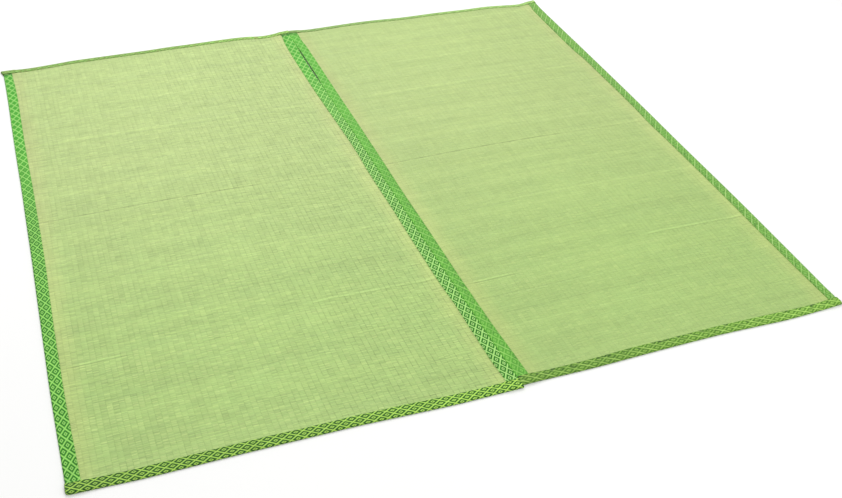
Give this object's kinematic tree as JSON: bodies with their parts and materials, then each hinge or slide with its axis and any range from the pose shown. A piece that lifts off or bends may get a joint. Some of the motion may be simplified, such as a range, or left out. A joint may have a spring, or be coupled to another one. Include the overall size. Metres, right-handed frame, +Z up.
{
  "type": "rush mat",
  "caption": "Square mat of woven rush lying flat, in side-by-side panels joined along the middle, every edge bound with a folded strip of patterned cloth.",
  "frame": {"origin": "on the floor under the middle of the mat's outline", "axes": "+Z up from the floor; +Y along the rush panels, from the near ends to the far ends; +X across the mat, from the left panel to the right panel"},
  "size_m": [1.7834, 1.7724, 0.0123],
  "materials": {
    "rush": "woven natural rush, pale yellow-green, satin along the fibres",
    "border_cloth": "woven cotton blend, bright green with a small diamond trellis"
  },
  "bodies": {
    "root": {"panel_left": "rush", "panel_right": "rush", "binding_left_outer": "border_cloth", "binding_left_inner": "border_cloth", "binding_left_far_end": "border_cloth", "binding_left_near_end": "border_cloth", "binding_right_outer": "border_cloth", "binding_right_inner": "border_cloth", "binding_right_far_end": "border_cloth", "binding_right_near_end": "border_cloth"}
  },
  "joints": []
}
